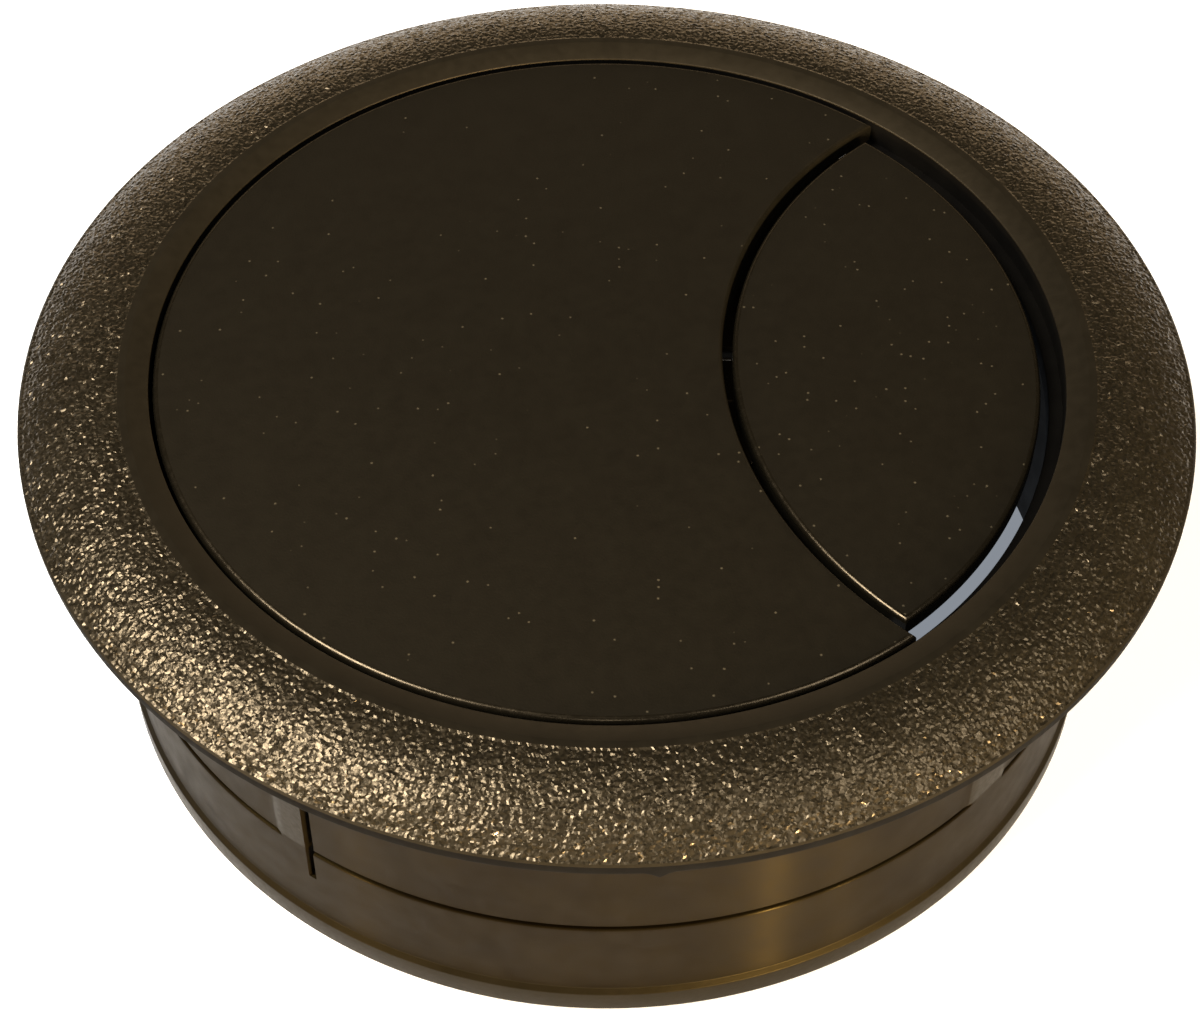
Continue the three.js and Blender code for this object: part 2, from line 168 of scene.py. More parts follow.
# Hinge.
PIN_RADIUS = (PIN_HIGH.z - PIN_LOW.z) / 2
BORE_RADIUS = PIN_RADIUS + 0.05 * MM
BARREL_RADIUS = 1.75 * MM
ARM_SPAN = (6 * MM, 9.5 * MM)
EAR_SPAN = (10.1 * MM, 11.7 * MM)
EAR_RADIUS = 2 * MM
ROD_STEPS = 48
WIRE_RADIUS = 0.2 * MM
COIL_RADIUS = 1.25 * MM
COIL_TURNS = 6
COIL_HALF = 1.8 * MM
CAP_LEG = 9 * MM
CAP_LEG_RISE = 0.55 * MM
FLAP_LEG = 8 * MM
FLAP_LEG_RISE = 0.35 * MM

# Mesh fineness: steps round the axis for the grained slope, the sleeve and the hidden inside.
GRAIN_STEPS = 1512
WALL_STEPS = 504
INNER_STEPS = 252
DISC_STEPS = 480


# ---------------------------------------------------------------- mesh helpers

def new_object(name, mesh):
    made = bpy.data.objects.new(name, mesh)
    bpy.context.scene.collection.objects.link(made)
    return made


def object_from(name, vertices, faces, face_materials=None):
    mesh = bpy.data.meshes.new(name)
    mesh.from_pydata(vertices, [], faces)
    if face_materials:
        mesh.polygons.foreach_set("material_index", face_materials)
    mesh.update()
    return new_object(name, mesh)


def arc(centre_r, centre_z, radius, start, end, steps=6):
    """Profile points on a round stretch, in degrees, both ends included."""
    angles = [math.radians(start + (end - start) * i / steps) for i in range(steps + 1)]
    return [(centre_r + radius * math.cos(a), centre_z + radius * math.sin(a)) for a in angles]


def ring_point(radius, azimuth, z):
    return (radius * math.sin(azimuth), -radius * math.cos(azimuth), z)


def join_rings(faces, low, low_steps, high, high_steps):
    """Faces between two rings, where one may have a whole multiple of the other's vertices."""
    if low_steps == high_steps:
        for i in range(low_steps):
            j = (i + 1) % low_steps
            faces.append((low + i, low + j, high + j, high + i))
        return
    flipped = low_steps > high_steps
    coarse, coarse_steps = (high, high_steps) if flipped else (low, low_steps)
    fine, fine_steps = (low, low_steps) if flipped else (high, high_steps)
    share = fine_steps // coarse_steps
    for i in range(coarse_steps):
        a = coarse + i
        b = coarse + (i + 1) % coarse_steps
        points = [fine + (share * i + k) % fine_steps for k in range(share + 1)]
        middle = share // 2
        triangles = [(a, points[k + 1], points[k]) for k in range(middle)]
        triangles.append((a, b, points[middle]))
        triangles += [(b, points[k + 1], points[k]) for k in range(middle, share)]
        faces += [t[::-1] if flipped else t for t in triangles]


def revolve(name, rings, shift=None, centre_x=0.0):
    """A closed turned body, from rings of (radius, z, steps, material) in anticlockwise order.

    A radius of 0 is a point on the axis. shift(radius, azimuth, z, ring number) returns where a
    point goes instead.
    """
    vertices, faces, materials, starts = [], [], [], []
    for number, (radius, z, steps, _) in enumerate(rings):
        starts.append(len(vertices))
        if radius == 0:
            vertices.append((centre_x, 0, z))
            continue
        for i in range(steps):
            azimuth = 2 * math.pi * i / steps
            at = (radius, azimuth, z) if shift is None else shift(radius, azimuth, z, number)
            x, y, height = ring_point(*at)
            vertices.append((x + centre_x, y, height))
    on_axis = rings[0][0] == 0
    pairs = [(i, i + 1) for i in range(len(rings) - 1)]
    if not on_axis:
        pairs.append((len(rings) - 1, 0))
    for low, high in pairs:
        before = len(faces)
        low_steps, high_steps = rings[low][2], rings[high][2]
        if rings[low][0] == 0:
            tip, ring = starts[low], starts[high]
            faces += [(tip, ring + (i + 1) % high_steps, ring + i) for i in range(high_steps)]
        elif rings[high][0] == 0:
            tip, ring = starts[high], starts[low]
            faces += [(ring + i, ring + (i + 1) % low_steps, tip) for i in range(low_steps)]
        else:
            join_rings(faces, starts[low], low_steps, starts[high], high_steps)
        materials += [rings[low][3]] * (len(faces) - before)
    return object_from(name, vertices, faces, materials)


def extrude_outline(name, outline, place, low, high, steps=1):
    """A closed prism of an anticlockwise outline; place(u, v, t) puts point (u, v) at depth t."""
    count = len(outline)
    vertices, faces = [], []
    for k in range(steps + 1):
        depth = low + (high - low) * k / steps
        vertices += [place(u, v, depth) for u, v in outline]
    for k in range(steps):
        for i in range(count):
            j = (i + 1) % count
            a, b = k * count, (k + 1) * count
            faces.append((a + i, a + j, b + j, b + i))
    faces.append(tuple(range(count))[::-1])
    faces.append(tuple(range(steps * count, (steps + 1) * count)))
    return object_from(name, vertices, faces)


def face_outwards(made):
    mesh = bmesh.new()
    mesh.from_mesh(made.data)
    bmesh.ops.recalc_face_normals(mesh, faces=mesh.faces)
    mesh.to_mesh(made.data)
    mesh.free()


def soften(made):
    """Rounds the sharp edges of a small primitive, as moulded plastic has them."""
    mesh = bmesh.new()
    mesh.from_mesh(made.data)
    bmesh.ops.recalc_face_normals(mesh, faces=mesh.faces)
    limit = math.radians(SHARP_ANGLE)
    sharp = [e for e in mesh.edges if e.is_manifold and e.calc_face_angle() > limit]
    bmesh.ops.bevel(
        mesh,
        geom=sharp,
        offset=SMALL_ROUND,
        segments=2,
        profile=0.5,
        affect="EDGES",
        clamp_overlap=True,
    )
    mesh.to_mesh(made.data)
    mesh.free()
    return made


def along_y(name, outline, low, high):
    """A plate whose outline of (x, z) points stands in a plane across Y."""
    return soften(extrude_outline(name, outline, lambda x, z, y: (x, y, z), low, high))


def sector(name, outline, start, end):
    """A stretch of ring: an outline of (radius, z) points swept between two azimuths in degrees."""
    steps = max(4, int(end - start))

    def place(radius, z, azimuth):
        return ring_point(radius, math.radians(azimuth), z)

    return soften(extrude_outline(name, outline, place, start, end, steps))


def box_outline(left, right, bottom, top):
    return [(left, bottom), (right, bottom), (right, top), (left, top)]


def hinge_rod(name, rings):
    """A rod turned about the flap's hinge axis, from (y, radius) pairs in rising order."""
    profile = [(0, rings[0][0])] + [(radius, y) for y, radius in rings] + [(0, rings[-1][0])]
    made = revolve(name, [(r, z, ROD_STEPS, 0) for r, z in profile])
    made.data.transform(Matrix.Rotation(-math.pi / 2, 4, "X"))
    made.data.transform(Matrix.Translation((HINGE.x, 0, HINGE.z)))
    face_outwards(made)
    return made


def hinge_bore(reach):
    return hinge_rod("bore", [(-reach, BORE_RADIUS), (reach, BORE_RADIUS)])


def combine(base, tool, operation):
    """Joins, cuts or intersects base with tool, and removes the tool.

    The tool's faces take the base's first material.
    """
    if tool.data.materials:
        tool.data.materials.clear()
    for material in base.data.materials:
        tool.data.materials.append(material)
    modifier = base.modifiers.new("combine", "BOOLEAN")
    modifier.operation = operation
    modifier.solver = "MANIFOLD"
    modifier.object = tool
    graph = bpy.context.evaluated_depsgraph_get()
    mesh = bpy.data.meshes.new_from_object(base.evaluated_get(graph))
    base.modifiers.clear()
    base.data = mesh
    bpy.data.objects.remove(tool)
    return base


def dress(made, materials):
    """Gives a mesh its materials; before any cut or join, so that its faces keep their own."""
    numbers = [face.material_index for face in made.data.polygons]
    for material in materials:
        made.data.materials.append(material)
    made.data.polygons.foreach_set("material_index", numbers)


def finish_piece(made, body, node, angle=PLASTIC_SHARP_ANGLE):
    made.data.shade_smooth()
    made.data.set_sharp_from_angle(angle=math.radians(angle))
    if body:
        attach(made, body)
    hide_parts(node)


def smoothstep(low, high, value):
    t = min(max((value - low) / (high - low), 0), 1)
    return t * t * (3 - 2 * t)


# ---------------------------------------------------------------- the liner

# Material numbers of the liner. The fourth is painted shade: darker, duller plastic on the flange's
# edge and on the pocket's wall and ledge, where shade falls.
SMOOTH, GRAIN, BAND, PAINTED_SHADE, BEAD = 0, 1, 2, 3, 4
GRAIN_RINGS = 42
GRAIN_DEPTH = 0.1 * MM
GRAIN_JITTER = 0.13 * MM
GRAIN_SIZE = 0.7 * MM
GRAIN_SEED = 11
GRAIN_EDGE_LAND = 0.2 * MM
GRAIN_FADE = 0.1 * MM


def liner_rings():
    """The liner's profile as rings, anticlockwise from the sleeve's lower inner edge."""
    inner = SLEEVE_RADIUS - SLEEVE_WALL
    rings = []

    def add(points, steps, material=SMOOTH):
        rings.extend((r, z, steps, material) for r, z in points)

    add(arc(inner + FOOT_ROUND, FOOT_ROUND, FOOT_ROUND, 180, 270, 4), INNER_STEPS)
    add(arc(BEAD_RADIUS - FOOT_ROUND, FOOT_ROUND, FOOT_ROUND, 270, 360, 5), WALL_STEPS, BEAD)
    rise = BEAD_RADIUS - SLEEVE_RADIUS
    shoulder = BEAD_TOP - 1.6 * rise
    add(arc(BEAD_RADIUS - 0.5 * rise, shoulder, 0.5 * rise, 0, 60, 4), WALL_STEPS, BEAD)
    hollow = arc(SLEEVE_RADIUS + 0.5 * rise, BEAD_TOP, 0.5 * rise, 240, 180, 4)
    add(hollow[:-1], WALL_STEPS, BEAD)
    add(hollow[-1:], WALL_STEPS)
    below = [BEAD_TOP + 2 * MM, BEAD_TOP + 4.5 * MM, GROOVE_FLOOR - 3 * GROOVE_LIP]
    sines = [math.sin(math.radians(a)) for a in range(0, 90, 15)]
    lip = [GROOVE_FLOOR - GROOVE_LIP + GROOVE_LIP * sine for sine in sines]
    ledge = [GROOVE_FLOOR, GROOVE_FLOOR + LEDGE_STEP, GROOVE_Z, GROOVE_TOP - LEDGE_STEP, GROOVE_TOP]
    above = [GROOVE_TOP + 0.5 * MM, GROOVE_Z + 5 * MM, GROOVE_Z + 10 * MM]
    add([(SLEEVE_RADIUS, z) for z in below + lip + ledge + above], WALL_STEPS)
    fillet = arc(SLEEVE_RADIUS + FILLET, FLANGE_SEAT - FILLET, FILLET, 180, 90, 4)
    add(fillet, WALL_STEPS, BEAD)
    add([(radius, FLANGE_SEAT) for radius in FLANGE_UNDERSIDE], WALL_STEPS, BAND)
    edge = FLANGE_ROUND
    # The flange's rounded edge takes the painted-shade material, whose darkness paints the shade
    # under the flange.
    add(arc(FLANGE_RADIUS - edge, FLANGE_SEAT + edge, edge, 270, 360, 4), WALL_STEPS, PAINTED_SHADE)
    reach = FLANGE_RADIUS - CREST_RADIUS
    drop = CREST_Z - FLANGE_SEAT - FLANGE_EDGE
    slope = (reach * reach + drop * drop) / (2 * drop)
    edge_angle = 90 - math.degrees(math.asin(reach / slope))
    add([(FLANGE_RADIUS, FLANGE_SEAT + FLANGE_EDGE - 0.2 * MM)], WALL_STEPS, PAINTED_SHADE)
    climb = arc(CREST_RADIUS, CREST_Z - slope, slope, edge_angle, 90, GRAIN_RINGS)
    land = round(GRAIN_EDGE_LAND / (slope * math.radians(90 - edge_angle) / GRAIN_RINGS))
    add(climb[:land], GRAIN_STEPS, BAND)
    add(climb[land:-1], GRAIN_STEPS, GRAIN)
    add(climb[-1:], GRAIN_STEPS, BAND)
    fall = math.degrees(math.atan2(CREST_Z - CAP_TOP, CREST_RADIUS - POCKET_RADIUS))
    band = CREST_ROUND
    crest = arc(CREST_RADIUS - band, CREST_Z - band - 0.01 * MM, band, 90, 90 + fall, 3)
    add(crest[1:], WALL_STEPS, BAND)
    lip = POCKET_LIP_ROUND
    pocket_edge = arc(POCKET_RADIUS + lip, CAP_TOP - lip + 0.02 * MM, lip, 90 + fall, 180, 3)
    add(pocket_edge, WALL_STEPS, BAND)
    # From the pocket's lip down, the wall and the ledge take the painted-shade material: darker
    # plastic that paints the shade in the pocket.
    rings[-1] = rings[-1][:3] + (PAINTED_SHADE,)
    foot = POCKET_FOOT_ROUND
    add(arc(POCKET_RADIUS - foot, LEDGE_TOP + foot, foot, 0, -90, 2), INNER_STEPS, PAINTED_SHADE)
    soft = LEDGE_ROUND
    add(arc(LEDGE_RADIUS + soft, LEDGE_TOP - soft, soft, 90, 180, 3), INNER_STEPS, PAINTED_SHADE)
    add(arc(LEDGE_RADIUS + soft, LEDGE_BOTTOM + soft, soft, 180, 270, 3), INNER_STEPS)
    under = LEDGE_BOTTOM - HOLLOW
    corner = HOLLOW_CORNER
    add([(inner - HOLLOW, LEDGE_BOTTOM), (inner - corner, under + corner)], INNER_STEPS)
    add([(inner, under - corner), (inner, GROOVE_Z)], INNER_STEPS)
    return rings


def in_panel(azimuth):
    """1 on a panel of the sleeve, 0 on the plain bars, with a short slope between."""
    degrees = math.degrees(azimuth)
    best = 0.0
    for start, end in PANELS:
        for turn in (-360, 0, 360):
            rise = smoothstep(start + turn, start + turn + PANEL_FADE, degrees)
            fall = 1 - smoothstep(end + turn - PANEL_FADE, end + turn, degrees)
            best = max(best, rise * fall)
    return best


def groove_depth(z):
    """The groove's section: square, with a rounded lip below it."""
    if z > GROOVE_TOP - LEDGE_STEP / 2 or z < GROOVE_FLOOR - GROOVE_LIP:
        return 0.0
    if z > GROOVE_FLOOR + LEDGE_STEP / 2:
        return GROOVE_DEPTH
    climb = z - GROOVE_FLOOR + GROOVE_LIP
    return GROOVE_LIP - math.sqrt(max(GROOVE_LIP * GROOVE_LIP - climb * climb, 0))


def grain_height(x, y, z, chance):
    """Spark-eroded grain, from 0 to 1: pits as small as the mesh is fine, on soft larger bumps."""
    coarse = noise.noise(Vector((x, y, z)) / GRAIN_SIZE)
    return min(max(0.5 + 0.15 * coarse + 0.85 * (chance.random() - 0.5), 0), 1)


def gloss_bars(liner):
    """Gives the plain bars between the panels the bead's even gloss."""
    for face in liner.data.polygons:
        x, y, z = face.center
        proud = math.hypot(x, y) > SLEEVE_RADIUS - PANEL_INSET / 2
        if face.material_index == SMOOTH and proud and GROOVE_TOP < z < FLANGE_SEAT - MM:
            face.material_index = BEAD


def make_liner(materials):
    rings = liner_rings()
    slope = [n for n, ring in enumerate(rings) if ring[2] == GRAIN_STEPS]
    first, last = slope[0], slope[-1]
    normals = {}
    for number in slope:
        r0, z0 = rings[max(number - 1, first)][:2]
        r1, z1 = rings[min(number + 1, last)][:2]
        along = Vector((r1 - r0, z1 - z0)).normalized()
        normals[number] = (along.y, -along.x)
    step = (Vector(rings[first + 1][:2]) - Vector(rings[first][:2])).length
    chance = random.Random(GRAIN_SEED)
    panel_of = [in_panel(2 * math.pi * i / WALL_STEPS) for i in range(WALL_STEPS)]

    def shift(radius, azimuth, z, number):
        if number in normals:
            from_edge = (number - first) * step
            lower = smoothstep(GRAIN_EDGE_LAND, GRAIN_EDGE_LAND + GRAIN_FADE, from_edge)
            upper = smoothstep(0, 2 * GRAIN_FADE, (last - number) * step)
            height = grain_height(*ring_point(radius, azimuth, z), chance)
            sunk = GRAIN_DEPTH * lower * upper * (1 - height)
            across, up = normals[number]
            slide = GRAIN_JITTER * lower * upper * (chance.random() - 0.5)
            turn = GRAIN_JITTER * lower * upper * (chance.random() - 0.5) / radius
            turn += (number % 2) * lower * upper * math.pi / GRAIN_STEPS
            shifted = radius - across * sunk - up * slide
            return shifted, azimuth + turn, z - up * sunk + across * slide
        on_wall = abs(radius - SLEEVE_RADIUS) < WALL_TOLERANCE and BEAD_TOP < z < FLANGE_SEAT
        if on_wall:
            share = panel_of[round(azimuth / (2 * math.pi) * WALL_STEPS) % WALL_STEPS]
            inset = PANEL_INSET if z > GROOVE_TOP - LEDGE_STEP / 2 else 0.0
            return radius - share * max(inset, groove_depth(z)), azimuth, z
        if z < FLANGE_SEAT + GATE_HEIGHT and radius > GATE_RADIUS:
            off = (math.degrees(azimuth) + 180 - GATE_AZIMUTH) % 360 - 180
            share = 1 - smoothstep(GATE_FLAT, GATE_REACH, abs(off))
            return radius, azimuth, z - GATE_DROP * share
        return radius, azimuth, z

    liner = revolve("liner_moulding", rings, shift)
    gloss_bars(liner)
    dress(liner, materials)
    for side in (0, 180):
        half = math.degrees(SLIT_WIDTH / 2 / SLEEVE_RADIUS)
        outline = box_outline(
            SLEEVE_RADIUS - SLEEVE_WALL - MM,
            SLEEVE_RADIUS + MM,
            FLANGE_SEAT - SLIT_LENGTH,
            LEDGE_BOTTOM - HOLLOW - EMBED,
        )
        middle = SLIT_AZIMUTH + side
        combine(liner, sector("slit", outline, middle - half, middle + half), "DIFFERENCE")
    finish_piece(liner, "liner", "liner")
    for face in liner.data.polygons:
        if face.material_index == GRAIN:
            face.use_smooth = False


# ---------------------------------------------------------------- the cap disc

MATTE, POLISHED = 0, 1


def rounded_disc(name, radius, bottom, top, edge, centre_x=0.0):
    """A disc with a rounded upper edge and a slightly softened lower one."""
    lower = DISC_LOWER_ROUND
    points = [(0, bottom), (radius - lower, bottom), (radius, bottom + lower)]
    rings = [(r, z, DISC_STEPS, MATTE) for r, z in points]
    rounded = arc(radius - edge, top - edge, edge, 0, 90, 8)
    rings += [(r, z, DISC_STEPS, POLISHED) for r, z in rounded]
    rings[-1] = rings[-1][:3] + (MATTE,)
    rings.append((0, top, DISC_STEPS, MATTE))
    return revolve(name, rings, centre_x=centre_x)


def notch_cutter():
    """The outlet's round cutter, which flares at the top to leave the disc a rounded edge."""
    edge = NOTCH_ROUND
    lower = DISC_LOWER_ROUND
    points = [
        (0, CAP_BOTTOM - MM),
        (NOTCH_RADIUS + lower + MM, CAP_BOTTOM - MM),
        (NOTCH_RADIUS, CAP_BOTTOM + lower),
    ]
    points += arc(NOTCH_RADIUS + edge, CAP_TOP - edge, edge, 180, 92, 8)
    points += [(NOTCH_RADIUS + edge, CAP_TOP + MM), (0, CAP_TOP + MM)]
    return revolve("notch", [(r, z, DISC_STEPS, 0) for r, z in points], centre_x=NOTCH_CENTRE)


def cap_skirt():
    outline = box_outline(SKIRT_INNER, SKIRT_OUTER, CAP_BOTTOM - SKIRT_HEIGHT, CAP_BOTTOM + EMBED)
    margin = HOOK_HALF_ANGLE + HOOK_SLOT_ANGLE
    stops = [SKIRT_SPAN[0]]
    for azimuth in HOOK_AZIMUTHS:
        stops += [azimuth - margin, azimuth + margin]
    stops.append(SKIRT_SPAN[1])
    return [sector("skirt", outline, a, b) for a, b in zip(stops[::2], stops[1::2])]


def cap_hooks():
    tip = CAP_BOTTOM - HOOK_LENGTH
    catch = LEDGE_BOTTOM - RUNNING_GAP
    nose = SKIRT_OUTER + HOOK_REACH
    outline = [
        (SKIRT_INNER, tip),
        (SKIRT_OUTER, tip),
        (nose, catch - HOOK_NOSE),
        (nose, catch),
        (SKIRT_OUTER, catch),
        (SKIRT_OUTER, CAP_BOTTOM + EMBED),
        (SKIRT_INNER, CAP_BOTTOM + EMBED),
    ]
    half = HOOK_HALF_ANGLE
    return [sector("hook", outline, a - half, a + half) for a in HOOK_AZIMUTHS]


def cap_ears():
    outline = arc(HINGE.x, HINGE.z, EAR_RADIUS, 180, 360, 24)
    root = CAP_BOTTOM + EMBED
    outline += [(HINGE.x + EAR_RADIUS, root), (HINGE.x - EAR_RADIUS, root)]
    near, far = EAR_SPAN
    return [along_y("ear", outline, near, far), along_y("ear", outline, -far, -near)]


def cap_ribs():
    low, high = CAP_BOTTOM - RIB_HEIGHT, CAP_BOTTOM + EMBED
    half = RIB_WIDTH / 2
    side = EAR_SPAN[1] + 2 * MM
    leg_y = -COIL_HALF
    guide_start = HINGE.x - CAP_LEG - MM
    ribs = []
    for y in (side, -side):
        outline = box_outline(CAP_RIB_END, HINGE.x + EAR_RADIUS, low, high)
        ribs.append(along_y("rib", outline, y - half, y + half))
    for x in CAP_CROSS_RIBS:
        ribs.append(along_y("rib", box_outline(x - half, x + half, low, high), -side, side))
    for y in (leg_y - GUIDE_OFFSET, leg_y + GUIDE_OFFSET):
        outline = box_outline(guide_start, guide_start + CAP_GUIDE_LENGTH, low, high)
        ribs.append(along_y("guide", outline, y - GUIDE_HALF, y + GUIDE_HALF))
    return ribs


def make_cap(materials):
    cap = rounded_disc("cap_moulding", CAP_RADIUS, CAP_BOTTOM, CAP_TOP, DISC_ROUND)
    dress(cap, materials)
    combine(cap, notch_cutter(), "DIFFERENCE")
    for piece in cap_skirt() + cap_hooks() + cap_ears() + cap_ribs():
        combine(cap, piece, "UNION")
    combine(cap, hinge_bore(EAR_SPAN[1] + MM), "DIFFERENCE")
    finish_piece(cap, "cap", "cap_disc")


# ---------------------------------------------------------------- the flap

def flap_arm(low, high):
    under = CAP_BOTTOM - RUNNING_GAP
    outline = [
        (HINGE.x, HINGE.z - 1.5 * MM),
        (HINGE.x + 3.2 * MM, HINGE.z - 0.6 * MM),
        (HINGE.x + 8 * MM, FLAP_BOTTOM - 0.6 * MM),
        (HINGE.x + 8 * MM, FLAP_BOTTOM + EMBED),
        (HINGE.x + 4.4 * MM, FLAP_BOTTOM + EMBED),
        (HINGE.x + 3.2 * MM, under),
        (HINGE.x, under),
        (HINGE.x - 2.3 * MM, HINGE.z - 0.2 * MM),
        (HINGE.x - 2.3 * MM, HINGE.z - 0.9 * MM),
    ]
    barrel = hinge_rod("barrel", [(low, BARREL_RADIUS), (high, BARREL_RADIUS)])
    return combine(along_y("arm", outline, low, high), barrel, "UNION")


def flap_lip():
    """The lip under the disc's edge: two long stretches, and a narrower slotted one between."""
    top = CAP_BOTTOM - RUNNING_GAP
    bottom = top - LIP_THICKNESS
    start, middle_start, middle_end, end = (270 + angle for angle in LIP_SPAN)
    root = box_outline(LIP_ROOT, LIP_ROOT + MM, bottom, FLAP_BOTTOM + EMBED)
    wide = box_outline(LIP_ROOT, LIP_OUTER, bottom, top)
    narrow = box_outline(LIP_ROOT, LIP_MIDDLE_OUTER, bottom, top)
    lip = sector("lip_root", root, start, end)
    stretches = (
        sector("lip", wide, start, middle_start),
        sector("lip", narrow, middle_start - 0.2, middle_end + 0.2),
        sector("lip", wide, middle_end, end),
    )
    for stretch in stretches:
        combine(lip, stretch, "UNION")
    lip.data.transform(Matrix.Translation((NOTCH_CENTRE, 0, 0)))
    outline = box_outline(HINGE.x, HINGE.x + LEG_SLOT_LENGTH, bottom - MM, FLAP_BOTTOM)
    near, far = COIL_HALF - LEG_SLOT_HALF, COIL_HALF + LEG_SLOT_HALF
    slot = extrude_outline("slot", outline, lambda x, z, y: (x, y, z), near, far)
    face_outwards(slot)
    return combine(lip, slot, "DIFFERENCE")


def make_flap(materials):
    heights = (FLAP_BOTTOM, FLAP_TOP)
    flap = rounded_disc("flap_moulding", FLAP_INNER_ARC, *heights, FLAP_ROUND, NOTCH_CENTRE)
    dress(flap, materials)
    outer = rounded_disc("outer", FLAP_OUTER_ARC, *heights, FLAP_ROUND)
    combine(flap, outer, "INTERSECT")
    near, far = ARM_SPAN
    pieces = [flap_lip(), flap_arm(near, far), flap_arm(-far, -near)]
    guide_start = HINGE.x + FLAP_LEG - 3.5 * MM
    guide_end = guide_start + FLAP_GUIDE_LENGTH
    root = FLAP_BOTTOM + EMBED
    for y in (COIL_HALF - GUIDE_OFFSET, COIL_HALF + GUIDE_OFFSET):
        outline = box_outline(guide_start, guide_end, FLAP_BOTTOM - FLAP_GUIDE_HEIGHT, root)
        pieces.append(along_y("guide", outline, y - GUIDE_HALF, y + GUIDE_HALF))
    rib_x = HINGE.x + FLAP_RIB_OFFSET
    half = RIB_WIDTH / 2
    outline = box_outline(rib_x - half, rib_x + half, FLAP_BOTTOM - MM, root)
    pieces.append(along_y("rib", outline, -FLAP_RIB_HALF, FLAP_RIB_HALF))
    for piece in pieces:
        combine(flap, piece, "UNION")
    combine(flap, hinge_bore(far + MM), "DIFFERENCE")
    finish_piece(flap, "flap", "closing_flap")


# ---------------------------------------------------------------- the pin and the spring

STEEL_SHARP_ANGLE = 50
PIN_TAPER = 0.35 * MM
LEG_STEPS = 10
TURN_STEPS = 36
WIRE_SIDES = 12


def make_pin(material):
    """The steel pin, with a short taper and a rounded tip at each end."""
    half = (PIN_HIGH.y - PIN_LOW.y) / 2
    taper = PIN_TAPER
    rings = [
        (-half, 0.45 * PIN_RADIUS),
        (-half + 0.25 * taper, 0.75 * PIN_RADIUS),
        (-half + taper, PIN_RADIUS),
        (-half + 2 * taper, PIN_RADIUS),
        (half - 2 * taper, PIN_RADIUS),
        (half - taper, PIN_RADIUS),
        (half - 0.25 * taper, 0.75 * PIN_RADIUS),
        (half, 0.45 * PIN_RADIUS),
    ]
    pin = hinge_rod("hinge_pin_steel", rings)
    dress(pin, [material])
    finish_piece(pin, "cap", "hinge_pin", STEEL_SHARP_ANGLE)


def spring_path():
    """The wire's centre line: the cap's leg, whole turns round the pin, then the flap's leg."""
    top = HINGE.z + COIL_RADIUS
    points = []
    for i in range(LEG_STEPS):
        out = 1 - i / LEG_STEPS
        points.append((HINGE.x - CAP_LEG * out, -COIL_HALF, top + CAP_LEG_RISE * out))
    count = COIL_TURNS * TURN_STEPS
    for i in range(count + 1):
        angle = 2 * math.pi * i / TURN_STEPS
        x, z = HINGE.x + COIL_RADIUS * math.sin(angle), HINGE.z + COIL_RADIUS * math.cos(angle)
        points.append((x, -COIL_HALF + 2 * COIL_HALF * i / count, z))
    for i in range(1, LEG_STEPS + 1):
        out = i / LEG_STEPS
        points.append((HINGE.x + FLAP_LEG * out, COIL_HALF, top + FLAP_LEG_RISE * out))
    return [Vector(p) for p in points]


def make_spring(material):
    path = spring_path()
    sides = WIRE_SIDES
    vertices, faces = [], []
    side_way = Vector((0, 1, 0))
    for i, point in enumerate(path):
        along = (path[min(i + 1, len(path) - 1)] - path[max(i - 1, 0)]).normalized()
        across = (side_way - along * side_way.dot(along)).normalized()
        up = along.cross(across)
        for k in range(sides):
            angle = 2 * math.pi * k / sides
            vertices.append(point + WIRE_RADIUS * (math.cos(angle) * across + math.sin(angle) * up))
    for i in range(len(path) - 1):
        join_rings(faces, i * sides, sides, (i + 1) * sides, sides)
    faces.append(tuple(range(sides))[::-1])
    faces.append(tuple(range((len(path) - 1) * sides, len(path) * sides)))
    spring = object_from("torsion_spring_wire", vertices, faces)
    face_outwards(spring)
    dress(spring, [material])
    finish_piece(spring, None, "torsion_spring", STEEL_SHARP_ANGLE)
    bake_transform(spring)


# ---------------------------------------------------------------- materials

